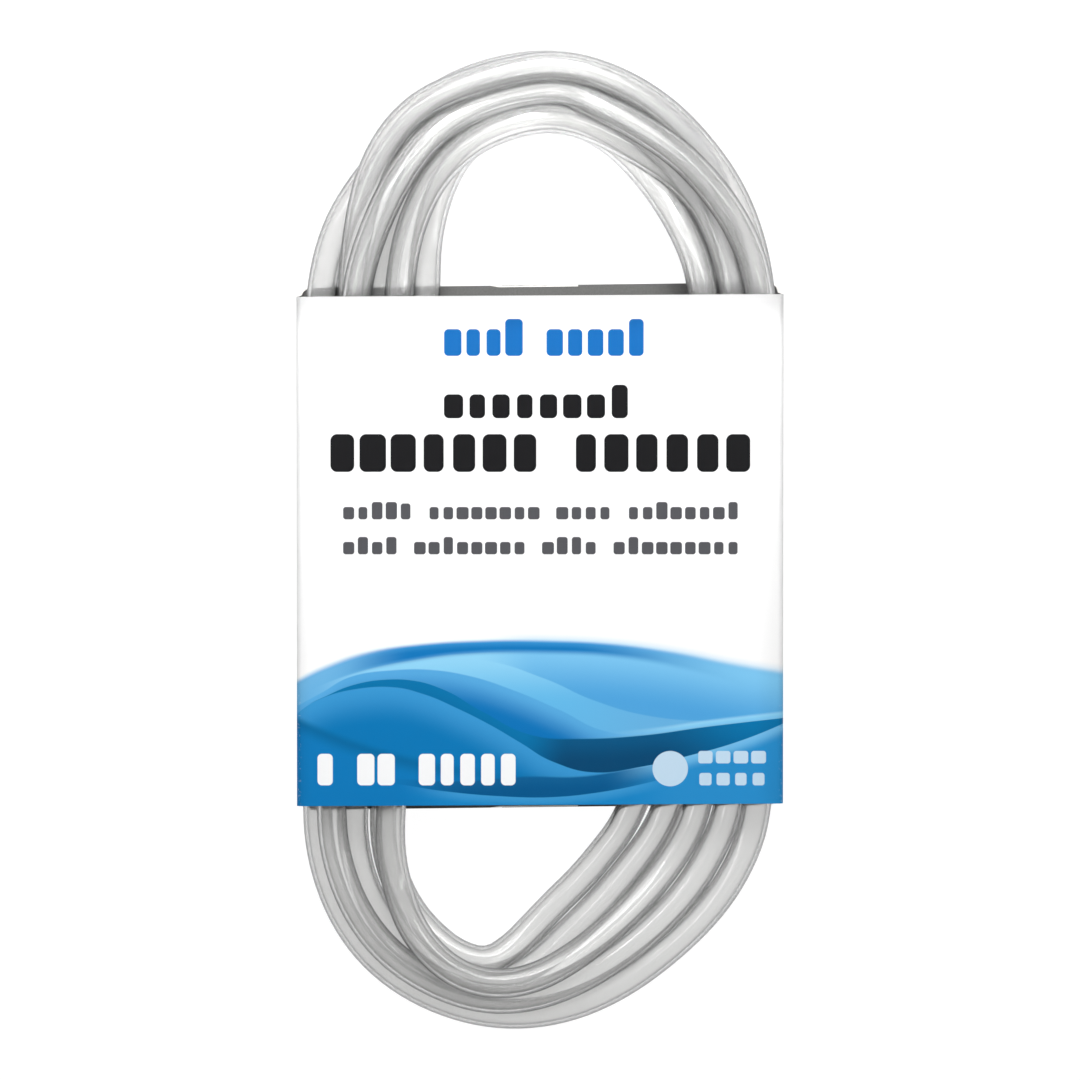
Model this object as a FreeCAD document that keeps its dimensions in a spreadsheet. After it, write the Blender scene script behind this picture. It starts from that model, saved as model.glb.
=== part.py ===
import FreeCAD, Part
import math
import os

import Sketcher

# A hank of clear airline tubing, lying on its back, held by a printed paperboard sleeve.
# +Z is up, +Y runs along the hank towards its rounder end, and +X is to the right of the label.
# The origin is on the surface that the sleeve's back panel rests on, under the middle of the hank.

SIZES = {
    # the hank: an oblong ring of loose turns
    "hank_length": 205.6,
    "hank_width": 98.4,
    "hank_depth": 16.5,
    "hank_lift": 1.2,
    "bundle_round": 5.0,
    # the sleeve: one strip of board folded round the hank, glued to itself at the back
    "board": 0.4,
    "front_width": 101.6,
    "back_width": 100.6,
    "sleeve_depth": 18.4,
    "front_length": 106.4,
    "back_length": 110.0,
    "sleeve_middle": -2.2,
    "front_fold": 0.9,
    "back_fold": 2.4,
    # the seam at the back: the right flap lies under the left one, with a film of glue between
    "glue_film": 0.1,
    "overlap": 16.0,
    "ramp": 2.5,
    "glue_inset": 1.5,
}

# Both outlines go anticlockwise from the top of the loop, in half widths and half lengths of the hank.
# The sleeve hides the straight sides. Below it the two innermost strands on the right cut across
# to the left, so the eye of the hank ends there in a narrow vee, left of the middle.
OUTER_OUTLINE = [
    (0.03, 1.0),
    (-0.39, 0.948),
    (-0.70, 0.815),
    (-0.89, 0.655),
    (-0.975, 0.50),
    (-0.997, 0.10),
    (-1.0, -0.45),
    (-0.93, -0.73),
    (-0.67, -0.908),
    (-0.18, -1.0),
    (0.40, -0.924),
    (0.79, -0.76),
    (0.965, -0.55),
    (1.0, -0.10),
    (0.995, 0.45),
    (0.93, 0.64),
    (0.72, 0.82),
    (0.43, 0.942),
]
EYE_OUTLINE = [
    (0.05, 0.840),
    (-0.20, 0.810),
    (-0.34, 0.755),
    (-0.40, 0.63),
    (-0.42, 0.45),
    (-0.48, 0.0),
    (-0.55, -0.50),
    (-0.53, -0.69),
    (-0.41, -0.79),
    (-0.27, -0.838),
    (-0.13, -0.794),
    (0.11, -0.69),
    (0.34, -0.545),
    (0.53, -0.25),
    (0.62, 0.20),
    (0.635, 0.52),
    (0.54, 0.64),
    (0.36, 0.76),
    (0.22, 0.815),
]


def make_sheet(doc):
    """The spreadsheet of driving dimensions, in millimetres."""
    sheet = doc.addObject("Spreadsheet::Sheet", "Sizes")
    for row, (alias, value) in enumerate(SIZES.items(), start=1):
        sheet.set(f"A{row}", alias)
        sheet.set(f"B{row}", str(value))
        sheet.setAlias(f"B{row}", alias)
    doc.recompute()
    return sheet


def make_body(doc, label):
    """An empty body with the name of its sub-part."""
    body = doc.addObject("PartDesign::Body", label)
    body.Label = label
    return body


def make_sketch(body, name, plane):
    """A sketch on one of the body's own origin planes."""
    sketch = body.newObject("Sketcher::SketchObject", name)
    origin_plane = next(f for f in body.Origin.OriginFeatures if f.Role == plane)
    sketch.AttachmentSupport = (origin_plane, [""])
    sketch.MapMode = "FlatFace"
    return sketch


def add_loop(sketch, outline, half_width, half_length):
    """A smooth closed curve through an outline given in half widths and half lengths."""
    points = [FreeCAD.Vector(u * half_width, v * half_length, 0) for u, v in outline]
    curve = Part.BSplineCurve()
    curve.interpolate(Points=points, PeriodicFlag=True)
    sketch.addGeometry(curve, False)


def add_polygon(sketch, sheet, corners):
    """A closed polygon whose corners are pairs of expressions, each bound to its coordinate."""
    places = []
    for across, up in corners:
        places.append(FreeCAD.Vector(sheet.evalExpression(across), sheet.evalExpression(up), 0))
    first = sketch.GeometryCount
    for index, start in enumerate(places):
        end = places[(index + 1) % len(places)]
        sketch.addGeometry(Part.LineSegment(start, end), False)
    for index, (across, up) in enumerate(corners):
        line = first + index
        following = first + (index + 1) % len(corners)
        sketch.addConstraint(Sketcher.Constraint("Coincident", line, 2, following, 1))
        for kind, expression, value in (("X", across, places[index].x), ("Y", up, places[index].y)):
            sketch.addConstraint(Sketcher.Constraint("Distance" + kind, -1, 1, line, 1, value))
            sketch.setExpression(f"Constraints[{sketch.ConstraintCount - 1}]", expression)


def upright_edges(shape, across, up, reach):
    """The names of the edges along Y that pass through the point (across, up) of the XZ plane."""
    names = []
    for number, edge in enumerate(shape.Edges, start=1):
        ends = [vertex.Point for vertex in edge.Vertexes]
        near = all(math.hypot(p.x - across, p.z - up) < reach for p in ends)
        if near and len(ends) == 2 and abs(ends[0].y - ends[1].y) > reach:
            names.append(f"Edge{number}")
    return names


def add_fillet(body, name, base, edges, radius):
    """A fillet on named edges of a feature, with its radius bound to an expression."""
    fillet = body.newObject("PartDesign::Fillet", name)
    fillet.Base = (base, edges)
    fillet.setExpression("Radius", radius)
    body.Tip = fillet
    body.Document.recompute()
    return fillet


def make_tubing(doc, sheet):
    """The hank as one closed solid: the outer shape of all its turns, open at the eye."""
    body = make_body(doc, "airline_tubing")
    sketch = make_sketch(body, "HankOutline", "XY_Plane")
    for outline in (OUTER_OUTLINE, EYE_OUTLINE):
        add_loop(sketch, outline, sheet.hank_width / 2, sheet.hank_length / 2)
    pad = body.newObject("PartDesign::Pad", "HankPad")
    pad.Profile = sketch
    pad.setExpression("Length", "Sizes.hank_depth")
    doc.recompute()
    rims = [f"Edge{n}" for n, e in enumerate(pad.Shape.Edges, start=1) if e.BoundBox.ZLength < 0.01]
    add_fillet(body, "HankRound", pad, rims, "Sizes.bundle_round")
    body.setExpression("Placement.Base.z", "Sizes.hank_lift")
    return body


def make_sleeve(doc, sheet):
    """The folded strip of board: front, two sides, and a back of two flaps that overlap."""
    body = make_body(doc, "card_sleeve")
    sketch = make_sketch(body, "StripSection", "XZ_Plane")
    front, back = "Sizes.front_width / 2", "Sizes.back_width / 2"
    low, high = "0 mm * Sizes.board", "Sizes.sleeve_depth"
    flap_end, under_end = "Sizes.overlap / 2", "-Sizes.overlap / 2"
    step = "Sizes.board + Sizes.glue_film"
    ramp_foot = f"{under_end} - Sizes.ramp"
    strip = [
        (under_end, low),
        (back, low),
        (front, high),
        (f"-{front}", high),
        (f"-{back}", low),
        (ramp_foot, low),
        (f"{under_end} - Sizes.board", step),
        (flap_end, step),
        (flap_end, f"{step} + Sizes.board"),
        (f"{under_end} - 2 * Sizes.board", f"{step} + Sizes.board"),
        (f"{ramp_foot} - Sizes.board", "Sizes.board"),
        (f"-{back} + Sizes.board", "Sizes.board"),
        (f"-{front} + Sizes.board", f"{high} - Sizes.board"),
        (f"{front} - Sizes.board", f"{high} - Sizes.board"),
        (f"{back} - Sizes.board", "Sizes.board"),
        (under_end, "Sizes.board"),
    ]
    add_polygon(sketch, sheet, strip)
    pad = body.newObject("PartDesign::Pad", "StripPad")
    pad.Profile = sketch
    pad.Midplane = True
    pad.setExpression("Length", "Sizes.back_length")
    doc.recompute()

    # the folds, rounded on both faces of the board
    half_front, half_back = sheet.front_width / 2, sheet.back_width / 2
    folds = [
        ("FrontFoldOuter", half_front, sheet.sleeve_depth, "Sizes.front_fold + Sizes.board"),
        ("FrontFoldInner", half_front - sheet.board, sheet.sleeve_depth - sheet.board, "Sizes.front_fold"),
        ("BackFoldOuter", half_back, 0, "Sizes.back_fold + Sizes.board"),
        ("BackFoldInner", half_back - sheet.board, sheet.board, "Sizes.back_fold"),
    ]
    tip = pad
    for name, across, up, radius in folds:
        edges = []
        for side in (1, -1):
            edges += upright_edges(tip.Shape, side * across, up, sheet.board / 4)
        tip = add_fillet(body, name, tip, edges, radius)

    # the front is a little shorter than the back: both ends of the strip are trimmed on a slant
    trim = make_sketch(body, "EndTrim", "YZ_Plane")
    margin = "Sizes.sleeve_depth / 4"
    for end in ("", "-"):
        near, far = f"{end}Sizes.front_length / 2", f"{end}Sizes.back_length / 2"
        corners = [
            (far, low),
            (f"{near} * 1.25 - {far} * 0.25", f"{high} + {margin}"),
            (f"{far} + {end}{margin}", f"{high} + {margin}"),
            (f"{far} + {end}{margin}", low),
        ]
        add_polygon(trim, sheet, corners)
    pocket = body.newObject("PartDesign::Pocket", "EndPocket")
    pocket.Profile = trim
    pocket.Type = "ThroughAll"
    pocket.Midplane = True
    body.Tip = pocket
    doc.recompute()
    body.setExpression("Placement.Base.y", "Sizes.sleeve_middle")
    return body


def make_glue(doc):
    """The film of glue between the two flaps of the back panel."""
    film = doc.addObject("Part::Box", "glue_strip")
    film.Label = "glue_strip"
    film.setExpression("Length", "Sizes.overlap - 2 * Sizes.glue_inset")
    film.setExpression("Width", "Sizes.front_length - 2 * Sizes.glue_inset")
    film.setExpression("Height", "Sizes.glue_film")
    film.setExpression("Placement.Base.x", "-Sizes.overlap / 2 + Sizes.glue_inset")
    film.setExpression("Placement.Base.y", "Sizes.sleeve_middle - Sizes.front_length / 2 + Sizes.glue_inset")
    film.setExpression("Placement.Base.z", "Sizes.board")
    return film


def check(doc, parts):
    """Stop if any object failed to build, or if a sub-part isn't one sound solid."""
    for item in doc.Objects:
        if "Invalid" in item.State or "Error" in item.State:
            raise RuntimeError(f"{item.Name} did not build: {item.State}")
    for part in parts:
        if part.Shape.isNull() or not part.Shape.isValid() or len(part.Shape.Solids) != 1:
            raise RuntimeError(f"{part.Label} is not one sound solid")


def main():
    doc = FreeCAD.newDocument("airline_tubing_hank")
    sheet = make_sheet(doc)
    parts = [make_tubing(doc, sheet), make_sleeve(doc, sheet), make_glue(doc)]
    doc.recompute()
    check(doc, parts)
    os.makedirs("parts", exist_ok=True)
    for part in parts:
        part.Shape.exportStep(os.path.join("parts", part.Label + ".step"))
        box = part.Shape.BoundBox
        print(f"{part.Label}: {part.Shape.Volume / 1000:.2f} cm3, X {box.XMin:.2f} to {box.XMax:.2f}, "
              f"Y {box.YMin:.2f} to {box.YMax:.2f}, Z {box.ZMin:.2f} to {box.ZMax:.2f}")


main()
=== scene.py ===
import math

import bpy
import numpy as np
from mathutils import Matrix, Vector


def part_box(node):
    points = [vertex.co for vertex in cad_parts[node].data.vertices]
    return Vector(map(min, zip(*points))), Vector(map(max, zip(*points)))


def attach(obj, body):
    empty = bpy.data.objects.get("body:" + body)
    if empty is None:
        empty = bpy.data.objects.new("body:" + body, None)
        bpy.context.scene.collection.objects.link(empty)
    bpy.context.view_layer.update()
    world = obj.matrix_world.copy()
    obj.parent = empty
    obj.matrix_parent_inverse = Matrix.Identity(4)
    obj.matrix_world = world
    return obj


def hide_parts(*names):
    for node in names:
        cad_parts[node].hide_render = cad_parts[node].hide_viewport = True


# A hank of clear airline tubing in a printed paperboard sleeve, lying on its back panel.
# The label faces +Z and its top is towards +Y. Lengths are in metres, and MM turns millimetres into them.
# The tables of places on the hank and on the label are in millimetres, and say so.
MM = 0.001

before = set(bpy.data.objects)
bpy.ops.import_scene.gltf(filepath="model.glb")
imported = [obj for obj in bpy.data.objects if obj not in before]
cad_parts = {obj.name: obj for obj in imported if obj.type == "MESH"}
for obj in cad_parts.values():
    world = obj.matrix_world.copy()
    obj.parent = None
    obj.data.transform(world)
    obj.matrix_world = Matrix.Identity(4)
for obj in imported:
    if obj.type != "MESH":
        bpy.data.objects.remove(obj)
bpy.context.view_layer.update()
sleeve_low, sleeve_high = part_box("card_sleeve")

# the tube and its length
TUBE_LENGTH = 2440 * MM
TUBE_DIAMETER = 6.35 * MM
TUBE_BORE = 4.76 * MM
TUBE_SIDES = 28
BORE_SIDES = 20

# the board, and the section of the strip that is folded from it
BOARD = 0.4 * MM
GLUE_FILM = 0.1 * MM
OVERLAP = 16 * MM                 # how far one flap of the back lies over the other
RAMP = 2.5 * MM                   # the run in which it climbs onto it
FRONT_FOLD = 1.1 * MM             # the folds' radii, at the middle of the board
BACK_FOLD = 2.6 * MM
FRONT_HALF = 50.8 * MM            # half the front's width, and half the back's
BACK_HALF = 50.3 * MM
FRONT_LENGTH = 106.4 * MM
BACK_LENGTH = sleeve_high.y - sleeve_low.y
SLEEVE_DEPTH = sleeve_high.z
SLEEVE_MIDDLE = (sleeve_high.y + sleeve_low.y) / 2
LABEL_FOOT = SLEEVE_MIDDLE - FRONT_LENGTH / 2
FRONT_SKEW = 0.0055               # the strip was folded and glued a little askew: rise for each run across
BACK_SKEW = 0.012
SLEEVE_ROWS = 40                  # rows of faces along the sleeve
SECTION_PIECE = 2 * MM            # the longest face across its section
SHARP_EDGE = math.radians(50)


# ---------------------------------------------------------------- the route of the tube

# Stations round one turn, clockwise from the sleeve's top edge on the left. Each is a name with the
# outer and the inner edge of the hank there, in millimetres. Those in the sleeve start with S.
STATIONS = [
    ("L1", -49.3, 52.0, -20.7, 52.0),
    ("L2", -45.0, 67.3, -20.1, 62.5),
    ("L3", -37.4, 80.0, -18.0, 74.7),
    ("L4", -29.0, 91.4, -14.0, 81.0),
    ("L5", -15.0, 99.4, -7.6, 83.8),
    ("TA", 1.7, 102.8, 2.4, 86.2),
    ("R5", 15.7, 99.2, 10.7, 83.9),
    ("R4", 27.8, 92.4, 17.4, 78.7),
    ("R3", 37.8, 81.7, 23.8, 70.3),
    ("R2", 44.8, 70.3, 28.4, 62.3),
    ("R1", 49.6, 52.6, 31.9, 53.0),
    ("SR1", 49.6, 28.0, 32.4, 28.0),
    ("SR0", 49.6, 0.0, 30.0, 0.0),
    ("SR9", 49.4, -28.0, 25.5, -28.0),
    ("BR1", 48.8, -56.4, 16.7, -56.5),
    ("BR2", 46.5, -65.1, 13.4, -60.8),
    ("BR3", 41.1, -75.8, 9.7, -65.8),
    ("BR4", 32.4, -85.5, 5.0, -71.1),
    ("BR5", 19.9, -95.9, -1.0, -77.3),
    ("BR6", 6.4, -101.9, -8.3, -84.6),
    ("BA", -8.3, -103.6, -13.6, -88.3),
    ("BL5", -24.0, -100.0, -18.2, -84.8),
    ("BL4", -36.3, -92.1, -23.2, -78.4),
    ("BL3", -44.5, -81.5, -26.3, -72.6),
    ("BL2", -49.3, -68.4, -27.8, -65.1),
    ("BL1", -50.5, -57.0, -27.0, -57.0),
    ("SL9", -49.4, -28.0, -26.0, -28.0),
    ("SL0", -49.4, 0.0, -24.0, 0.0),
    ("SL1", -49.2, 28.0, -22.0, 28.0),
]

# The passes over the top and under the bottom, in the order in which the tube makes them. At each
# named station a pass lies so many tube diameters in from the outer edge, and so many over the back panel.
PASSES = [
    ("top", dict(L1=(1.40, .5), L3=(.50, 1.5), L5=(1.02, 2.17), TA=(1.02, 2.17),
                 R5=(1.0, 1.9), R3=(.60, 1.4), R1=(.50, .5))),
    ("low", dict(BR1=(1.5, .6), BR3=(1.5, .8), BR5=(1.2, 1.0), BA=(.95, 1.4),
                 BL3=(1.0, 1.4), BL1=(1.0, 1.4))),
    ("top", dict(L1=(1.50, 1.5), L3=(1.35, 1.9), L5=(1.57, 1.33), TA=(1.57, 1.4),
                 R5=(1.5, 2.17), R3=(.50, 2.17), R1=(.50, 1.5))),
    ("low", dict(BR1=(.50, .5), BR3=(.50, .5), BR5=(.50, .5), BA=(.50, .5),
                 BL3=(.50, .5), BL1=(.50, .5))),
    ("top", dict(L1=(.50, .5), L3=(.95, .5), L5=(.50, 1.33), TA=(.50, 1.33),
                 R5=(.50, 1.2), R3=(.80, .5), R1=(1.41, .5))),
    ("low", dict(BR1=(2.46, .5), BR3=(2.50, .6), BR5=(2.10, 1.5), BR6=(1.75, 2.0), BA=(1.50, 2.17),
                 BL5=(1.65, 2.1), BL3=(2.58, 1.45), BL1=(3.0, 1.42))),
    ("top", dict(L1=(3.91, .55), L3=(2.67, .7), L5=(2.12, .5), TA=(2.12, .5),
                 R5=(2.03, .5), R3=(2.35, .9), R1=(2.32, 1.5))),
    ("low", dict(BR1=(4.38, .5), BR3=(4.42, .5), BR5=(3.83, .5), BR6=(2.90, .7), BA=(1.98, 1.33),
                 BL5=(1.95, 1.1), BL3=(2.30, .5), BL1=(2.5, .5))),
    ("top", dict(L1=(3.10, 1.4), L3=(2.20, 1.6), L5=(2.12, 2.17), TA=(2.12, 2.17),
                 R5=(2.03, 1.5), R3=(1.50, 1.6), R1=(1.41, 1.5))),
    ("low", dict(BR1=(3.42, .5), BR3=(3.46, .6), BR5=(2.90, .5), BR6=(2.10, .5), BA=(1.50, .5),
                 BL3=(1.50, .5), BL1=(1.5, .5))),
    ("top", dict(L1=(2.45, .6), L3=(1.85, .5), L5=(1.02, .5), TA=(1.02, .5),
                 R5=(1.0, .5), R3=(1.60, .6), R1=(2.32, .5))),
]
STATIONS_INTO_SLEEVE = 3          # both ends of the tube lie in the sleeve, this many stations along
PLAN_DETAIL = 16                  # points read from the planned curve for each station
LINE_DETAIL = 3                   # and from the tube's own curve for each of its control points

# how the turns settle
STEP = 3.4 * MM                   # spacing of the points meanwhile
GAP = 0.03 * MM                   # room left between two stretches
OWN_LENGTH = 2.2 * TUBE_DIAMETER  # points nearer than this along the tube are one stretch
NEARBY = 1.5 * TUBE_DIAMETER      # stretches nearer to each other than this are neighbours
LOOK_EVERY = 8                    # rounds between two searches for neighbours
ROUNDS = 300
SINKING_ROUNDS = 180              # the first rounds, in which the strands also drop
SINK = 0.02 * MM                  # how far a strand drops in a round, before the others hold it
KEPT = 0.995                      # the share of a level shift from the plan that a round keeps
PUSHES = 3                        # pushes apart in each round
LAST_ROUNDS = 120                 # the rounds that only push apart,
LAST_EASED = 96                   # and ease the shifts, up to here,
EASE_EVERY = 3                    # in every third round
CROWDED = 0.6                     # how far the pushes on a point are averaged, not added up

# where the turns may lie
OUTLINE_SLACK = 0.3 * MM          # how far the settled strands may stand out of the hank's outer edge
EYE_SLACK = 0.5 * MM              # and how far into its eye
FLOOR_ROOM = 0.95 * MM            # the strands lie on the inside of the back panel
ROOF = 17.9 * MM                  # and stay under the inside of the front
SIDE_ROOM = 46.75 * MM            # the furthest that a centreline lies from the middle in the sleeve,
SIDE_ROOM_BEYOND = 47.5 * MM      # and out of it,
BEYOND_SLEEVE = 57.5 * MM         # which is so far from the middle along the hank


def coil_line():
    """The turns of the hank as planned, with a row for each station that the tube goes by.

    A row is the point, the level direction out of the hank there, and the room outwards and inwards.
    """
    names = [station[0] for station in STATIONS]
    around = len(STATIONS)
    where, inset, layer = [], [], []
    turn = -1
    for side, places in PASSES:
        turn += side == "top"
        for name, (across, up) in places.items():
            where.append(turn * around + names.index(name))
            inset.append(across)
            layer.append(up)
    where = [where[0] - STATIONS_INTO_SLEEVE, *where, where[-1] + STATIONS_INTO_SLEEVE]
    inset = [inset[0], *inset, inset[-1]]
    layer = [layer[0], *layer, layer[-1]]
    rows = []
    for at in range(where[0], where[-1] + 1):
        _, outer_x, outer_y, inner_x, inner_y = STATIONS[at % around]
        outer = np.array([outer_x, outer_y]) * MM
        inward = np.array([inner_x, inner_y]) * MM - outer
        width = np.linalg.norm(inward)
        reach = np.interp(at, where, inset) * TUBE_DIAMETER
        reach = min(max(reach, TUBE_DIAMETER / 2), width - TUBE_DIAMETER / 2)
        height = FLOOR_ROOM + np.interp(at, where, layer) * TUBE_DIAMETER
        room_out = reach - TUBE_DIAMETER / 2
        room_in = width - TUBE_DIAMETER / 2 - reach
        rows.append([*(outer + inward / width * reach), height, *(-inward / width), room_out, room_in])
    return np.array(rows)


def length_along(rows):
    """How far along the line each of its points is."""
    return np.concatenate([[0], np.cumsum(np.linalg.norm(np.diff(rows[:, :3], axis=0), axis=1))])


def rows_at(rows, along, at):
    """The rows at the given lengths along the line."""
    return np.stack([np.interp(at, along, column) for column in rows.T], axis=1)


def nurbs_line(points, detail=LINE_DETAIL):
    """The points that a smooth curve follows, with these as its control points."""
    data = bpy.data.curves.new("tube_route", "CURVE")
    data.dimensions = "3D"
    data.resolution_u = detail
    spline = data.splines.new("NURBS")
    spline.points.add(len(points) - 1)
    for point, place in zip(spline.points, points):
        point.co = (*place, 1)
    spline.order_u = 3
    spline.use_endpoint_u = True
    curve = bpy.data.objects.new("tube_route", data)
    mesh = bpy.data.meshes.new_from_object(curve)
    line = np.array([vertex.co for vertex in mesh.vertices])
    bpy.data.objects.remove(curve)
    bpy.data.meshes.remove(mesh)
    return line


def spaced(rows):
    """The planned turns as a smooth curve reads them, with rows at even spacing along it."""
    places = nurbs_line(rows[:, :3], PLAN_DETAIL)
    outward_and_room = nurbs_line(rows[:, 3:6], PLAN_DETAIL)
    room_in = nurbs_line(rows[:, 4:7], PLAN_DETAIL)[:, 2]
    rows = np.column_stack([places, outward_and_room, room_in])
    along = length_along(rows)
    steps = int(round(along[-1] / STEP))
    return rows_at(rows, along, np.linspace(0, along[-1], steps + 1))


def eased(shift, times):
    """A shift of each point, averaged with its neighbours' shifts."""
    for _ in range(times):
        middle = shift[1:-1] * .5 + (shift[:-2] + shift[2:]) * .25
        shift = np.concatenate([shift[:1], middle, shift[-1:]])
    return shift


def in_the_hank(points, rows):
    """The points, kept on the back panel, under the front, and near the hank's outer and inner edges."""
    radius = TUBE_DIAMETER / 2
    outward, room_out, room_in = rows[:, 3:5], rows[:, 5] + OUTLINE_SLACK, rows[:, 6] + EYE_SLACK
    out = ((points[:, :2] - rows[:, :2]) * outward).sum(1)
    points[:, :2] -= outward * (out - np.clip(out, -room_in, room_out))[:, None]
    points[:, 2] = np.clip(points[:, 2], FLOOR_ROOM + radius, ROOF - radius)
    side_room = np.where(abs(points[:, 1]) > BEYOND_SLEEVE, SIDE_ROOM_BEYOND, SIDE_ROOM)
    points[:, 0] = np.clip(points[:, 0], -side_room, side_room)
    return points


def near_pairs(points):
    """The pairs of points of different stretches that are neighbours of each other."""
    own = int(round(OWN_LENGTH / STEP))
    flat = (points ** 2).sum(1)
    squares = flat[:, None] + flat[None, :] - 2 * points @ points.T
    first, second = np.where(np.triu(squares < NEARBY ** 2, own + 1))
    return first, second


def pushed(points, pairs):
    """The points after one push apart of every pair that is nearer than a diameter and the gap."""
    first, second = pairs
    gap = TUBE_DIAMETER + GAP
    apart = points[first] - points[second]
    distance = np.maximum(np.linalg.norm(apart, axis=1), 1e-9)
    close = distance < gap
    first, second, apart, distance = first[close], second[close], apart[close], distance[close]
    push = apart / distance[:, None] * ((gap - distance) / 2)[:, None]
    move = np.zeros_like(points)
    np.add.at(move, first, push)
    np.add.at(move, second, -push)
    count = np.bincount(first, minlength=len(points)) + np.bincount(second, minlength=len(points))
    return points + move / np.maximum(1, count * CROWDED)[:, None]


def settled(rows):
    """The turns after they settle: no stretch lies in another, and each stays near where it was planned."""
    planned = rows[:, :3]
    points = planned.copy()
    for number in range(ROUNDS):
        if number % LOOK_EVERY == 0:
            pairs = near_pairs(points)
        shift = points - planned
        if number < SINKING_ROUNDS:
            shift[:, 2] -= SINK
        shift[:, :2] *= KEPT
        points = in_the_hank(planned + eased(shift, 2), rows)
        for _ in range(PUSHES):
            points = in_the_hank(pushed(points, pairs), rows)
    for number in range(LAST_ROUNDS):
        if number % LOOK_EVERY == 0:
            pairs = near_pairs(points)
        points = in_the_hank(pushed(points, pairs), rows)
        if number % EASE_EVERY == 0 and number < LAST_EASED:
            points = in_the_hank(planned + eased(points - planned, 1), rows)
    return points


def cut_to_length(points, length):
    """The line cut to its length, as much off one end as off the other, with a point every two steps."""
    along = length_along(points)
    spare = (along[-1] - length) / 2
    spans = int(round(length / (2 * STEP)))
    return rows_at(points, along, np.linspace(spare, along[-1] - spare, spans + 1))


# ---------------------------------------------------------------- meshes

def new_object(name, vertices, faces, materials):
    """An object of a smooth-shaded mesh."""
    mesh = bpy.data.meshes.new(name)
    mesh.from_pydata([tuple(v) for v in vertices], [], faces)
    mesh.update()
    mesh.shade_smooth()
    for material in materials:
        mesh.materials.append(material)
    piece = bpy.data.objects.new(name, mesh)
    bpy.context.scene.collection.objects.link(piece)
    return piece


def cross_frames(line):
    """Two directions square to the line at each of its points, carried along without twist."""
    tangent = np.gradient(line, axis=0)
    tangent /= np.linalg.norm(tangent, axis=1)[:, None]
    side = np.empty_like(line)
    side[0] = np.cross(tangent[0], (0, 0, 1))
    side[0] /= np.linalg.norm(side[0])
    for number in range(1, len(line)):
        carried = side[number - 1] - tangent[number] * (side[number - 1] @ tangent[number])
        side[number] = carried / np.linalg.norm(carried)
    return side, np.cross(tangent, side)


def ring_wall(line, side, up, radius, sides):
    """The points of a round wall about the line, ring after ring."""
    angle = np.arange(sides) * 2 * math.pi / sides
    spoke = np.cos(angle)[None, :, None] * side[:, None] + np.sin(angle)[None, :, None] * up[:, None]
    return (line[:, None] + radius * spoke).reshape(-1, 3)


def wall_faces(rings, sides, first, outward):
    """The faces between neighbouring rings."""
    faces = []
    for ring in range(rings - 1):
        for number in range(sides):
            here = first + ring * sides + number
            beside = first + ring * sides + (number + 1) % sides
            face = (here, beside, beside + sides, here + sides)
            faces.append(face if outward else face[::-1])
    return faces


def end_faces(outer_first, bore_first, start):
    """A square-cut end: a flat ring of triangles between the outer wall and the bore."""
    faces = []
    outer, bore = 0, 0
    while outer < TUBE_SIDES or bore < BORE_SIDES:
        if bore == BORE_SIDES or (outer < TUBE_SIDES and outer / TUBE_SIDES <= bore / BORE_SIDES):
            corner = (outer_first + outer % TUBE_SIDES, outer_first + (outer + 1) % TUBE_SIDES,
                      bore_first + bore % BORE_SIDES)
            outer += 1
        else:
            corner = (bore_first + (bore + 1) % BORE_SIDES, bore_first + bore % BORE_SIDES,
                      outer_first + outer % TUBE_SIDES)
            bore += 1
        faces.append(corner if not start else corner[::-1])
    return faces


def make_tube(material):
    """The tubing: one hollow tube of its full length, wound into the hank."""
    points = settled(spaced(coil_line()))
    line = nurbs_line(cut_to_length(points, TUBE_LENGTH))
    lost = TUBE_LENGTH - length_along(line)[-1]
    line = nurbs_line(cut_to_length(points, TUBE_LENGTH + lost))
    side, up = cross_frames(line)
    rings = len(line)
    outer = ring_wall(line, side, up, TUBE_DIAMETER / 2 - GAP, TUBE_SIDES)
    bore = ring_wall(line, side, up, TUBE_BORE / 2, BORE_SIDES)
    bore_first = len(outer)
    faces = wall_faces(rings, TUBE_SIDES, 0, True)
    faces += wall_faces(rings, BORE_SIDES, bore_first, False)
    faces += end_faces(0, bore_first, True)
    faces += end_faces((rings - 1) * TUBE_SIDES, bore_first + (rings - 1) * BORE_SIDES, False)
    tube = new_object("clear_tubing", np.concatenate([outer, bore]), faces, [material])
    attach(tube, "tubing")
    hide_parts("airline_tubing")


# ---------------------------------------------------------------- materials

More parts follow.
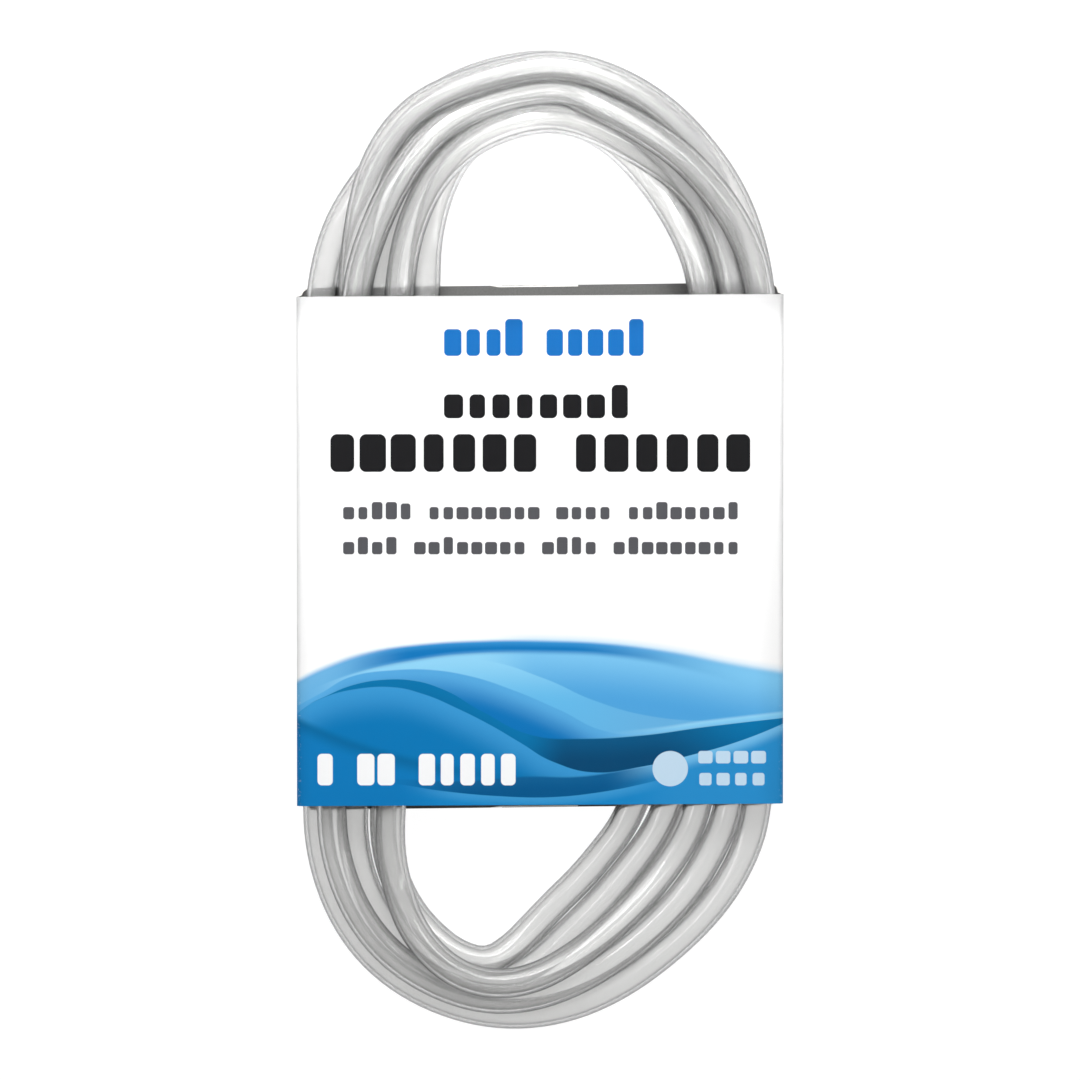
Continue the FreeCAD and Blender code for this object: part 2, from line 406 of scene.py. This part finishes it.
class Shader:
    """One material with short ways to make its nodes."""

    def __init__(self, name):
        self.material = bpy.data.materials.new(name)
        self.material.use_nodes = True
        self.tree = self.material.node_tree
        self.surface = self.tree.nodes["Principled BSDF"]

    def put(self, target, value):
        """Links a socket, or sets a number or colour on the target itself."""
        if isinstance(value, bpy.types.NodeSocket):
            self.tree.links.new(value, target)
        elif value is not None:
            target.default_value = value

    def node(self, kind, **values):
        """A node with the given properties."""
        node = self.tree.nodes.new(kind)
        for name, value in values.items():
            setattr(node, name, value)
        return node

    def math(self, operation, *inputs, clamp=False):
        """The result of one operation on numbers or sockets."""
        node = self.node("ShaderNodeMath", operation=operation, use_clamp=clamp)
        for target, value in zip(node.inputs, inputs):
            self.put(target, value)
        return node.outputs[0]

    def place(self):
        """The place in the frame, in millimetres: as one vector, and as its X, Y and Z."""
        coordinates = self.node("ShaderNodeTexCoord")
        scaled = self.node("ShaderNodeVectorMath", operation="SCALE")
        self.put(scaled.inputs[0], coordinates.outputs["Object"])
        scaled.inputs["Scale"].default_value = 1 / MM
        split = self.node("ShaderNodeSeparateXYZ")
        self.put(split.inputs[0], scaled.outputs[0])
        return scaled.outputs[0], split.outputs

    def noise(self, vector, scale, detail):
        """A soft random pattern, about 0.3 to 0.7, with scale patches for each millimetre."""
        node = self.node("ShaderNodeTexNoise")
        self.put(node.inputs["Vector"], vector)
        node.inputs["Scale"].default_value = scale
        node.inputs["Detail"].default_value = detail
        return node.outputs["Fac"]

    def ramp(self, value, low, high, to_low=0.0, to_high=1.0):
        """A smooth step: to_low below low, to_high above high."""
        node = self.node("ShaderNodeMapRange", interpolation_type="SMOOTHSTEP")
        for name, number in (("Value", value), ("From Min", low), ("From Max", high),
                             ("To Min", to_low), ("To Max", to_high)):
            self.put(node.inputs[name], number)
        return node.outputs[0]

    def share(self, share, first, second):
        """A number between two others."""
        node = self.node("ShaderNodeMix", data_type="FLOAT")
        for socket, value in ((0, share), (2, first), (3, second)):
            self.put(node.inputs[socket], value)
        return node.outputs[0]

    def mix(self, share, first, second, blend="MIX"):
        """A colour between two others."""
        node = self.node("ShaderNodeMix", data_type="RGBA", blend_type=blend)
        for socket, value in ((0, share), (6, first), (7, second)):
            self.put(node.inputs[socket], value)
        return node.outputs[2]

    def curve(self, value, points):
        """A smooth curve through a few points, both ways from 0 to 1."""
        node = self.node("ShaderNodeFloatCurve")
        self.put(node.inputs["Value"], value)
        line = node.mapping.curves[0]
        while len(line.points) < len(points):
            line.points.new(0.5, 0.5)
        for point, (across, up) in zip(line.points, points):
            point.location = (across, up)
        node.mapping.update()
        return node.outputs[0]

    def bump(self, height, distance, strength):
        """Fine relief on the surface, distance high."""
        node = self.node("ShaderNodeBump")
        node.inputs["Distance"].default_value = distance
        node.inputs["Strength"].default_value = strength
        self.put(node.inputs["Height"], height)
        self.put(self.surface.inputs["Normal"], node.outputs[0])


def srgb(red, green, blue):
    """A colour given as it is seen, from 0 to 255, as the shader takes it."""
    linear = []
    for level in (red, green, blue):
        seen = level / 255
        linear.append(seen / 12.92 if level <= 10 else ((seen + 0.055) / 1.055) ** 2.4)
    return (*linear, 1)


def vinyl_material():
    """Clear soft vinyl: glossy and faintly hazy, with painted shade that darkens its colour towards its
    outlines, drawing dark seams between strands.
    """
    shader = Shader("clear_vinyl")
    surface = shader.surface
    surface.inputs["Transmission Weight"].default_value = 0.86
    surface.inputs["IOR"].default_value = 1.5
    grazing = shader.node("ShaderNodeLayerWeight")
    grazing.inputs["Blend"].default_value = 0.5
    # painted shade: the colour darkens where the surface turns away from the eye, so each strand gets dark
    # outlines and dark seams
    painted_outline_shade = shader.ramp(grazing.outputs["Facing"], 0.22, 0.72)
    outline_shaded_tint = shader.mix(painted_outline_shade, (0.985, 0.985, 0.98, 1), (0.13, 0.135, 0.14, 1))
    shader.put(surface.inputs["Base Color"], outline_shaded_tint)
    place, _ = shader.place()
    haze = shader.noise(place, 0.08, 4)
    shader.put(surface.inputs["Roughness"], shader.ramp(haze, 0.3, 0.7, 0.09, 0.15))
    shader.bump(shader.noise(place, 0.08, 1), 0.0001, 0.2)
    return shader.material


def board_material():
    """The bare inside of the board: grey, with short fibres."""
    shader = Shader("bare_board")
    place, _ = shader.place()
    fibre = shader.noise(place, 2.4, 5)
    tone = shader.mix(fibre, srgb(90, 90, 89), srgb(112, 112, 110))
    shader.put(shader.surface.inputs["Base Color"], tone)
    shader.surface.inputs["Roughness"].default_value = 0.85
    shader.bump(fibre, 0.00005, 0.5)
    return shader.material


def edge_material():
    """The cut edge of the board: its white fibres."""
    shader = Shader("board_edge")
    place, _ = shader.place()
    fibre = shader.noise(place, 6, 4)
    tone = shader.mix(fibre, srgb(196, 194, 190), srgb(228, 226, 222))
    shader.put(shader.surface.inputs["Base Color"], tone)
    shader.surface.inputs["Roughness"].default_value = 0.8
    return shader.material


def glue_material():
    """The dried glue between the strip's lapped ends: yellowish and a little see-through."""
    shader = Shader("glue")
    place, _ = shader.place()
    dried = shader.noise(place, 1.2, 3)
    tone = shader.mix(dried, srgb(214, 200, 160), srgb(232, 222, 190))
    shader.put(shader.surface.inputs["Base Color"], tone)
    shader.put(shader.surface.inputs["Roughness"], shader.ramp(dried, .3, .7, .30, .45))
    shader.surface.inputs["Transmission Weight"].default_value = 0.3
    return shader.material


# The printed picture: swells of blue, each drawn over the ones before it. An edge is a few points:
# the share of the label's width from its left edge, and the height over its lower edge in millimetres.
HORIZON = [(0, 25.9), (.06, 28.9), (.15, 31.9), (.25, 33.4), (.38, 34.2), (.51, 34.2), (.64, 33.6),
           (.77, 31.9), (.90, 29.3), (1, 27.6)]
CREST = [(0, 22.6), (.12, 27.6), (.25, 30.5), (.35, 31.7), (.51, 31.9), (.64, 31.3), (.80, 28.5), (1, 22.0)]
SLOPE = [(0, 30.5), (.38, 30.3), (.51, 26.4), (.61, 21.9), (.72, 18.7), (.84, 17.6), (1, 18.6)]
NEAR = [(0, 20.6), (.05, 23.4), (.12, 27.1), (.20, 28.2), (.27, 28.3), (.35, 27.1), (.44, 24.2),
        (.54, 19.9), (.64, 15.3), (.72, 14.6), (.80, 15.6), (.90, 16.5), (1, 18.0)]
RIBBON_TOP = [(0, 20.0), (.05, 22.3), (.12, 25.2), (.18, 26.2), (.24, 26.0), (.30, 24.2), (.38, 19.6),
              (.50, 14.2), (.58, 13.8), (.71, 14.5), (.84, 16.3), (1, 18.2)]
RIBBON_FOOT = [(0, 19.0), (.05, 22.2), (.12, 24.2), (.20, 24.6), (.26, 23.2), (.33, 20.2), (.40, 16.6),
               (.46, 13.0), (.53, 8.9), (.61, 6.8), (.71, 8.0), (.81, 10.4), (.90, 13.0), (1, 17.0)]
LIP = [(across, up + 1.3) for across, up in RIBBON_TOP]
LEFT_FALL = [(0, 18.2), (.06, 15.4), (.14, 12.4), (.24, 9.6), (.40, 7.0), (.60, 5.6), (1, 5.0)]
KEEL_TOP = [(0, 5.6), (.20, 5.4), (.34, 5.0), (.47, 5.9), (.58, 5.9), (.70, 7.8), (.80, 9.6), (1, 13.0)]
KEEL_FOOT = [(0, 5.2), (.20, 4.4), (.30, 2.9), (.42, 1.8), (.52, 1.6), (.62, 2.6), (.72, 4.6),
             (.84, 8.0), (1, 12.8)]
CURVE_HEIGHT = 40.0               # millimetres, more than any edge's height
ALWAYS = (-2, -1, 2, 3)           # fades that lie beyond the label

# Each swell is its upper edge and that edge's softness, its lower edge or None and its softness, the
# shares of the width between which it fades in and out, its colours at the upper edge and deeper in, and
# the depth of that change.
SWELLS = [
    (HORIZON, 1.6, None, 0, ALWAYS, (112, 182, 228), (104, 178, 226), 6),
    (CREST, .5, None, 0, (.02, .16, .50, .78), (146, 212, 244), (100, 186, 234), 11),
    (HORIZON, 4.5, SLOPE, .35, (.36, .50, 2, 3), (128, 200, 240), (80, 164, 222), 12),
    (HORIZON, .8, CREST, 1.6, (.05, .24, .55, .95), (52, 144, 206), (16, 118, 188), 1.6),
    (NEAR, .35, None, 0, (-2, -1, .60, .74), (88, 170, 224), (10, 116, 186), 6.5),
    (LIP, .8, RIBBON_TOP, .15, (.62, .82, 2, 3), (150, 214, 246), (124, 198, 238), 1.2),
    (RIBBON_TOP, .15, RIBBON_FOOT, .15, (.02, .05, 2, 3), (4, 116, 172), (2, 104, 158), 6),
    (RIBBON_TOP, .5, RIBBON_FOOT, .3, (.46, .56, .72, .95), (8, 86, 132), (4, 72, 114), 5),
    (RIBBON_FOOT, .15, None, 0, ALWAYS, (58, 152, 211), (6, 120, 184), 8),
    (LEFT_FALL, 2.2, None, 0, (-2, -1, .20, .60), (2, 104, 158), (10, 122, 188), 4),
    (RIBBON_FOOT, .12, None, 0, (.62, .70, 2, 3), (116, 190, 234), (40, 142, 205), 3.2),
    (KEEL_TOP, .6, KEEL_FOOT, .25, (.16, .36, .62, .80), (12, 96, 150), (2, 88, 142), 3),
    (KEEL_FOOT, .12, None, 0, (.20, .34, .66, .80), (60, 154, 212), (22, 134, 200), 2.5),
]

# Plain blocks where the real label has words, none of them a letter. A row is its left end and foot,
# the blocks' height and pitch, all in millimetres, how much taller the tall ones are, the number of
# blocks in each group, and the colour.
BLUE_INK, BLACK_INK, GREY_INK = (24, 104, 176), (26, 26, 28), (84, 84, 88)
WHITE_INK, PALE_INK = (252, 253, 254), (196, 222, 241)
BLOCK_ROWS = [
    (30.5, 93.8, 5.6, 4.25, .38, (4, 5), BLUE_INK),
    (30.3, 80.8, 5.0, 4.95, .40, (8,), BLACK_INK),
    (6.4, 69.6, 7.9, 6.35, 0, (7, 6), BLACK_INK),
    (9.4, 59.7, 2.6, 2.97, .40, (5, 8, 4, 8), GREY_INK),
    (9.4, 52.4, 2.6, 2.97, .40, (4, 8, 4, 9), GREY_INK),
    (3.8, 4.1, 6.6, 4.25, 0, (1, 2, 5), WHITE_INK),
    (83.5, 8.7, 2.6, 3.7, 0, (4,), PALE_INK),
    (83.5, 4.1, 2.6, 3.7, 0, (4,), PALE_INK),
]
BLOCK_HALF = 0.31                 # half the narrowest block's width, as a share of the pitch
BLOCK_VARIES = 0.13               # and how much wider half a block can be
BLOCK_CORNER = 0.22               # the radius of a block's corners, as a share of its height or the pitch
TALL_FROM = 0.62                  # a block whose chance, of 0 to 1, is above this is a tall one
PRINT_SOFT = 0.06                 # half the softness of a block's edge, in millimetres
DOT = (78.0, 7.6, 3.7)            # a plain disc beside the last two rows: its middle and its radius
WHITE_COAT = 0.92                 # the share of light that the white coat sends back


def between(shader, value, edges):
    """1 between the middle two edges, fading to 0 at the outer two."""
    rise_from, rise_to, fall_from, fall_to = edges
    rise = shader.ramp(value, rise_from, rise_to)
    return shader.math("MULTIPLY", rise, shader.ramp(value, fall_from, fall_to, 1, 0))


def edge_height(shader, share, edge):
    """The height of a swell's edge, in millimetres."""
    value = shader.curve(share, [(across, up / CURVE_HEIGHT) for across, up in edge])
    return shader.math("MULTIPLY", value, CURVE_HEIGHT)


def paint_swells(shader, paint, share, height):
    """The picture's blue swells, over the paint so far."""
    for top, top_soft, foot, foot_soft, fades, shallow, deep, depth in SWELLS:
        below = shader.math("SUBTRACT", edge_height(shader, share, top), height)
        mask = shader.ramp(below, -top_soft / 2, top_soft / 2)
        if foot:
            above = shader.math("SUBTRACT", height, edge_height(shader, share, foot))
            mask = shader.math("MULTIPLY", mask, shader.ramp(above, -foot_soft / 2, foot_soft / 2))
        if fades != ALWAYS:
            mask = shader.math("MULTIPLY", mask, between(shader, share, fades))
        colour = shader.mix(shader.ramp(below, 0, depth), srgb(*shallow), srgb(*deep))
        paint = shader.mix(mask, paint, colour)
    return paint


def rounded(shader, aside, above, corner):
    """1 inside a round-cornered shape, from how far a place lies past the middles of its corners."""
    wide = shader.math("MAXIMUM", aside, 0.0)
    high = shader.math("MAXIMUM", above, 0.0)
    squares = shader.math("ADD", shader.math("POWER", wide, 2.0), shader.math("POWER", high, 2.0))
    return shader.ramp(shader.math("SQRT", squares), corner - PRINT_SOFT, corner + PRINT_SOFT, 1, 0)


def block_mask(shader, across, height, left, foot, tall, pitch, taller, count):
    """A row of round-cornered blocks, each of its own width, some of them taller."""
    turn = shader.math("DIVIDE", shader.math("SUBTRACT", across, left), pitch)
    chance = shader.node("ShaderNodeTexWhiteNoise", noise_dimensions="1D")
    shader.put(chance.inputs["W"], shader.math("ADD", shader.math("FLOOR", turn), left + foot))
    chance = chance.outputs["Value"]
    half_wide = shader.math("MULTIPLY_ADD", chance, pitch * BLOCK_VARIES, pitch * BLOCK_HALF)
    second_chance = shader.math("FRACT", shader.math("MULTIPLY", chance, 7.0))
    stands_up = shader.ramp(second_chance, TALL_FROM, TALL_FROM + .01)
    half_tall = shader.math("MULTIPLY_ADD", stands_up, tall * taller / 2, tall / 2)
    corner = min(tall, pitch) * BLOCK_CORNER
    aside = shader.math("ABSOLUTE", shader.math("SUBTRACT", shader.math("FRACT", turn), .5))
    aside = shader.math("SUBTRACT", shader.math("MULTIPLY", aside, pitch), half_wide)
    above = shader.math("SUBTRACT", shader.math("SUBTRACT", height, foot), half_tall)
    above = shader.math("SUBTRACT", shader.math("ABSOLUTE", above), half_tall)
    inside = rounded(shader, shader.math("ADD", aside, corner), shader.math("ADD", above, corner), corner)
    end = left + count * pitch
    return shader.math("MULTIPLY", inside, between(shader, across, (left, left + .01, end, end + .01)))


def paint_blocks(shader, paint, across, height):
    """The rows of blocks that stand where the label has words, and the disc."""
    for left, foot, tall, pitch, taller, groups, ink in BLOCK_ROWS:
        start = left
        for count in groups:
            mask = block_mask(shader, across, height, start, foot, tall, pitch, taller, count)
            paint = shader.mix(mask, paint, srgb(*ink))
            start += (count + 1) * pitch
    middle_x, middle_y, radius = DOT
    aside = shader.math("ABSOLUTE", shader.math("SUBTRACT", across, middle_x))
    above = shader.math("ABSOLUTE", shader.math("SUBTRACT", height, middle_y))
    return shader.mix(rounded(shader, aside, above, radius), paint, srgb(*PALE_INK))


def with_painted_edge_shade(shader, paint, across, height):
    """The paint times the white coat's share, with painted shade darkening it towards the two folds and the
    upper edge of the front.
    """
    width, length = 2 * FRONT_HALF / MM, FRONT_LENGTH / MM
    # painted shade: the paint darkens towards the left and right folds and towards the front's upper edge
    coat_and_edge_shade = shader.ramp(across, 0, 3.2, .87 * WHITE_COAT, WHITE_COAT)
    coat_and_edge_shade = shader.math("MULTIPLY", coat_and_edge_shade, shader.ramp(across, width - 6.5, width, 1, .86))
    coat_and_edge_shade = shader.math("MULTIPLY", coat_and_edge_shade, shader.ramp(height, length - 9, length, 1, .68))
    shade = shader.node("ShaderNodeCombineColor")
    for channel in shade.inputs[:3]:
        shader.put(channel, coat_and_edge_shade)
    return shader.mix(1.0, paint, shade.outputs[0], "MULTIPLY")


def cracked(shader, paint, place, x, z):
    """The paint with the fine cracks of the upper folds, where the white board shows through."""
    fold_side, fold_foot = (FRONT_HALF - FRONT_FOLD) / MM, (SLEEVE_DEPTH - FRONT_FOLD) / MM
    fold = shader.ramp(shader.math("ABSOLUTE", x), fold_side, fold_side + .5)
    fold = shader.math("MULTIPLY", fold, shader.ramp(z, fold_foot, SLEEVE_DEPTH / MM - .5))
    crack = shader.ramp(shader.noise(place, 1.6, 6), .56, .66)
    mask = shader.math("MULTIPLY", shader.math("MULTIPLY", fold, crack), .12)
    return shader.mix(mask, paint, srgb(236, 236, 232))


def print_material():
    """The coated outside of the board: its picture all round, and its blocks on the front."""
    shader = Shader("printed_board")
    place, (x, y, z) = shader.place()
    across = shader.math("ADD", x, FRONT_HALF / MM)
    share = shader.math("DIVIDE", across, 2 * FRONT_HALF / MM, clamp=True)
    height = shader.math("SUBTRACT", y, LABEL_FOOT / MM)
    paint = paint_swells(shader, srgb(253, 253, 253), share, height)
    blocks = paint_blocks(shader, paint, across, height)
    on_front = shader.ramp(z, SLEEVE_DEPTH / MM - .5, SLEEVE_DEPTH / MM - .3)
    paint = shader.mix(on_front, paint, blocks)
    # painted shade along the front's two folds and its upper edge
    paint = with_painted_edge_shade(shader, paint, across, height)
    paint = cracked(shader, paint, place, x, z)
    shader.put(shader.surface.inputs["Base Color"], paint)
    coat = shader.noise(place, .5, 4)
    shader.put(shader.surface.inputs["Roughness"], shader.ramp(coat, .3, .7, .32, .46))
    shader.surface.inputs["Specular IOR Level"].default_value = 0.08
    shader.bump(shader.noise(place, 1.1, 4), 0.00003, 0.4)
    return shader.material


# ---------------------------------------------------------------- the sleeve

def arc(centre, radius, start, end, steps=6):
    """Points of a round fold in the section, by angles in degrees."""
    points = []
    for number in range(steps + 1):
        angle = math.radians(start + (end - start) * number / steps)
        points.append((centre[0] + radius * math.cos(angle), centre[1] + radius * math.sin(angle)))
    return points


def strip_section():
    """The middle line of the folded strip, as X and Z, from the flap that lies under to the one over it."""
    half = BOARD / 2
    lean = math.degrees(math.atan2(FRONT_HALF - BACK_HALF, SLEEVE_DEPTH))
    side_low, side_high = BACK_HALF - half, FRONT_HALF - half
    roof = SLEEVE_DEPTH - half
    points = [(-OVERLAP / 2, half)]
    points += arc((side_low - BACK_FOLD, half + BACK_FOLD), BACK_FOLD, -90, -lean)
    points += arc((side_high - FRONT_FOLD, roof - FRONT_FOLD), FRONT_FOLD, -lean, 90)
    points += arc((-side_high + FRONT_FOLD, roof - FRONT_FOLD), FRONT_FOLD, 90, 180 + lean)
    points += arc((-side_low + BACK_FOLD, half + BACK_FOLD), BACK_FOLD, 180 + lean, 270)
    points.append((-OVERLAP / 2 - RAMP, half))
    points.append((-OVERLAP / 2 - BOARD, half + BOARD + GLUE_FILM))
    points.append((OVERLAP / 2, half + BOARD + GLUE_FILM))
    return with_pieces(points)


def with_pieces(points):
    """The section with its flat panels cut into faces of SECTION_PIECE or less."""
    fine = [points[0]]
    for start, end in zip(points, points[1:]):
        pieces = max(1, math.ceil(math.dist(start, end) / SECTION_PIECE))
        for number in range(1, pieces + 1):
            share = number / pieces
            fine.append((start[0] + (end[0] - start[0]) * share, start[1] + (end[1] - start[1]) * share))
    return np.array(fine)


def sleeve_skins(line):
    """The points of the board's outer skin and then of its inner skin, row after row along the hank."""
    tangent = np.gradient(line, axis=0)
    tangent /= np.linalg.norm(tangent, axis=1)[:, None]
    outward = np.stack([tangent[:, 1], -tangent[:, 0]], axis=1)
    vertices = []
    for side in (1, -1):
        skin = line + outward * side * BOARD / 2
        for row in range(SLEEVE_ROWS + 1):
            share = 2 * row / SLEEVE_ROWS - 1
            for x, z in skin:
                rise = min(max((z - BOARD) / BACK_FOLD, 0), 1)
                half_length = (BACK_LENGTH + (FRONT_LENGTH - BACK_LENGTH) * rise) / 2
                skew = BACK_SKEW + (FRONT_SKEW - BACK_SKEW) * rise
                vertices.append((x, SLEEVE_MIDDLE + share * half_length + x * skew, z))
    return vertices


def sleeve_faces(columns):
    """The faces of the two skins and of the cut edges between them, and the material of each face."""
    inner = (SLEEVE_ROWS + 1) * columns
    faces, kinds = [], []

    def add(kind, corners, flip=False):
        faces.append(corners[::-1] if flip else corners)
        kinds.append(kind)

    for row in range(SLEEVE_ROWS):
        for column in range(columns - 1):
            here = row * columns + column
            right, above = here + 1, here + columns
            add(0, (here, above, above + 1, right))
            add(1, (inner + here, inner + right, inner + above + 1, inner + above))
    for column in range(columns - 1):
        for row in (0, SLEEVE_ROWS):
            here = row * columns + column
            add(2, (here, here + 1, inner + here + 1, inner + here), flip=row > 0)
    for row in range(SLEEVE_ROWS):
        for column in (0, columns - 1):
            here = row * columns + column
            add(2, (here, here + columns, inner + here + columns, inner + here), flip=column == 0)
    return faces, kinds


def make_sleeve(printed, bare, cut):
    """The folded strip: printed outside, bare board inside, white at its cut edges."""
    line = strip_section()
    faces, kinds = sleeve_faces(len(line))
    sleeve = new_object("printed_sleeve", sleeve_skins(line), faces, [printed, bare, cut])
    sleeve.data.polygons.foreach_set("material_index", kinds)
    sleeve.data.set_sharp_from_angle(angle=SHARP_EDGE)
    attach(sleeve, "sleeve")
    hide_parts("card_sleeve")


# ---------------------------------------------------------------- the stage

FLOOR_HALF = 6.0
FLOOR_TOP = -0.05 * MM            # just clear of the back panel
SEEN_FLOOR = 0.97                 # how bright the floor looks to the camera
TABLE_GLOW = 0.86                 # the floor's light on the object, from the part under it
TABLE_EDGE = 0.03                 # and from the part far from it,
TABLE_FROM, TABLE_TO = 110, 330   # and where the one fades into the other, in millimetres from the origin
HEAD_GLOW = 1.05                  # the light added under the hank's rounder end,
HEAD_PLACE = (0, 84, 0)           # about this place in millimetres,
HEAD_FROM, HEAD_TO = 8, 36        # which fades between these distances from it
ROOM_FOOT = 0.05                  # the room's light from the horizon
ROOM_ROOF = 0.58                  # and from overhead,
ROOM_RISE = 0.9                   # which starts at this height, of 0 to 1
SEEN_ROOM = 1.21                  # how bright the room looks to the camera, to match the floor
BOUNCES, GLOSSY_BOUNCES = 32, 8   # light crosses many walls of tube


def make_floor():
    """A pale floor that glows as a light table does."""
    corners = []
    for across, along in ((-1, -1), (1, -1), (1, 1), (-1, 1)):
        corners.append((across * FLOOR_HALF, along * FLOOR_HALF, FLOOR_TOP))
    shader = Shader("floor_white")
    shader.surface.inputs["Base Color"].default_value = (0.12, 0.12, 0.12, 1)
    shader.surface.inputs["Roughness"].default_value = 0.9
    shader.surface.inputs["Specular IOR Level"].default_value = 0
    path = shader.node("ShaderNodeLightPath")
    place, _ = shader.place()
    reach = shader.node("ShaderNodeVectorMath", operation="LENGTH")
    shader.put(reach.inputs[0], place)
    table = shader.ramp(reach.outputs["Value"], TABLE_FROM, TABLE_TO, TABLE_GLOW, TABLE_EDGE)
    head = shader.node("ShaderNodeVectorMath", operation="DISTANCE")
    shader.put(head.inputs[0], place)
    head.inputs[1].default_value = HEAD_PLACE
    glow = shader.ramp(head.outputs["Value"], HEAD_FROM, HEAD_TO, HEAD_GLOW, 0)
    table = shader.math("ADD", table, glow)
    strength = shader.share(path.outputs["Is Camera Ray"], table, SEEN_FLOOR)
    shader.surface.inputs["Emission Color"].default_value = (1, 1, 1, 1)
    shader.put(shader.surface.inputs["Emission Strength"], strength)
    floor = new_object("floor", corners, [(0, 1, 2, 3)], [shader.material])


def make_world():
    """A white room: bright overhead, grey near the horizon."""
    world = bpy.data.worlds.new("studio")
    bpy.context.scene.world = world
    world.use_nodes = True
    nodes, links = world.node_tree.nodes, world.node_tree.links
    nodes.clear()
    coordinates = nodes.new("ShaderNodeTexCoord")
    split = nodes.new("ShaderNodeSeparateXYZ")
    ramp = nodes.new("ShaderNodeMapRange")
    path = nodes.new("ShaderNodeLightPath")
    mix = nodes.new("ShaderNodeMix")
    back = nodes.new("ShaderNodeBackground")
    out = nodes.new("ShaderNodeOutputWorld")
    links.new(coordinates.outputs["Generated"], split.inputs[0])
    links.new(split.outputs["Z"], ramp.inputs["Value"])
    ramp.inputs["From Max"].default_value = ROOM_RISE
    ramp.inputs["To Min"].default_value = ROOM_FOOT
    ramp.inputs["To Max"].default_value = ROOM_ROOF
    mix.data_type = "FLOAT"
    links.new(path.outputs["Is Camera Ray"], mix.inputs[0])
    links.new(ramp.outputs[0], mix.inputs[2])
    mix.inputs[3].default_value = SEEN_ROOM
    links.new(mix.outputs[0], back.inputs["Strength"])
    links.new(back.outputs[0], out.inputs[0])


# Each light is its name, where it is and what it faces, its size, its power in watts and its spread in
# degrees.
LIGHTS = [
    ("top_box", (0, 0.36, 0.42), (0, 0.07, 0), (0.5, 0.3), 1.7, 180),
    ("head_box", (0, 0.26, 0.16), (0, 0.095, 0.01), (0.5, 0.12), 0.16, 30),
    ("left_box", (-0.5, 0.2, 0.9), (0, 0, 0), (0.5, 0.6), 0.5, 180),
    ("near_strip", (0, 0.16, 0.34), (0, 0, 0), (0.5, 0.035), 0.35, 180),
    ("left_strip", (-0.30, 0, 0.34), (0, 0, 0), (0.035, 0.5), 0.22, 180),
    ("right_strip", (0.34, 0, 0.30), (0, 0, 0), (0.035, 0.5), 0.22, 180),
]


def make_light(name, place, target, size, power, spread):
    """A soft box that the camera doesn't see, its light kept within spread degrees."""
    data = bpy.data.lights.new(name, "AREA")
    data.shape = "RECTANGLE"
    data.size, data.size_y = size
    data.energy = power
    data.spread = math.radians(spread)
    light = bpy.data.objects.new(name, data)
    light.location = place
    direction = [t - p for t, p in zip(target, place)]
    light.rotation_mode = "QUATERNION"
    light.rotation_quaternion = Vector(direction).to_track_quat("-Z", "Y")
    light.visible_camera = False
    bpy.context.scene.collection.objects.link(light)


def make_lights():
    """Soft boxes over the hank's rounder end and to the left, and strips for the lines of gloss."""
    for name, place, target, size, power, spread in LIGHTS:
        make_light(name, place, target, size, power, spread)


def make_camera():
    """A long lens above the label, moved a little towards the label's top and looking at its middle."""
    distance = 2.0
    view_width = 225.3 * MM
    lean = math.radians(2.7)
    data = bpy.data.cameras.new("camera")
    data.sensor_width = 36
    data.lens = data.sensor_width * distance / view_width
    data.clip_start, data.clip_end = 0.05, 50
    camera = bpy.data.objects.new("camera", data)
    camera.location = (0, distance * math.sin(lean), SLEEVE_DEPTH + distance * math.cos(lean))
    camera.rotation_euler = (-lean, 0, 0)
    bpy.context.scene.collection.objects.link(camera)
    bpy.context.scene.camera = camera


def set_render():
    """Plain colours, and enough bounces for light to cross the tube's many walls."""
    scene = bpy.context.scene
    scene.view_settings.view_transform = "Standard"
    scene.cycles.max_bounces = BOUNCES
    scene.cycles.transmission_bounces = BOUNCES
    scene.cycles.glossy_bounces = GLOSSY_BOUNCES
    scene.cycles.use_denoising = True


make_camera()
make_floor()
make_world()
make_lights()
make_tube(vinyl_material())
make_sleeve(print_material(), board_material(), edge_material())
glue = glue_material()
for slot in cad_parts["glue_strip"].material_slots:
    slot.material = glue
set_render()
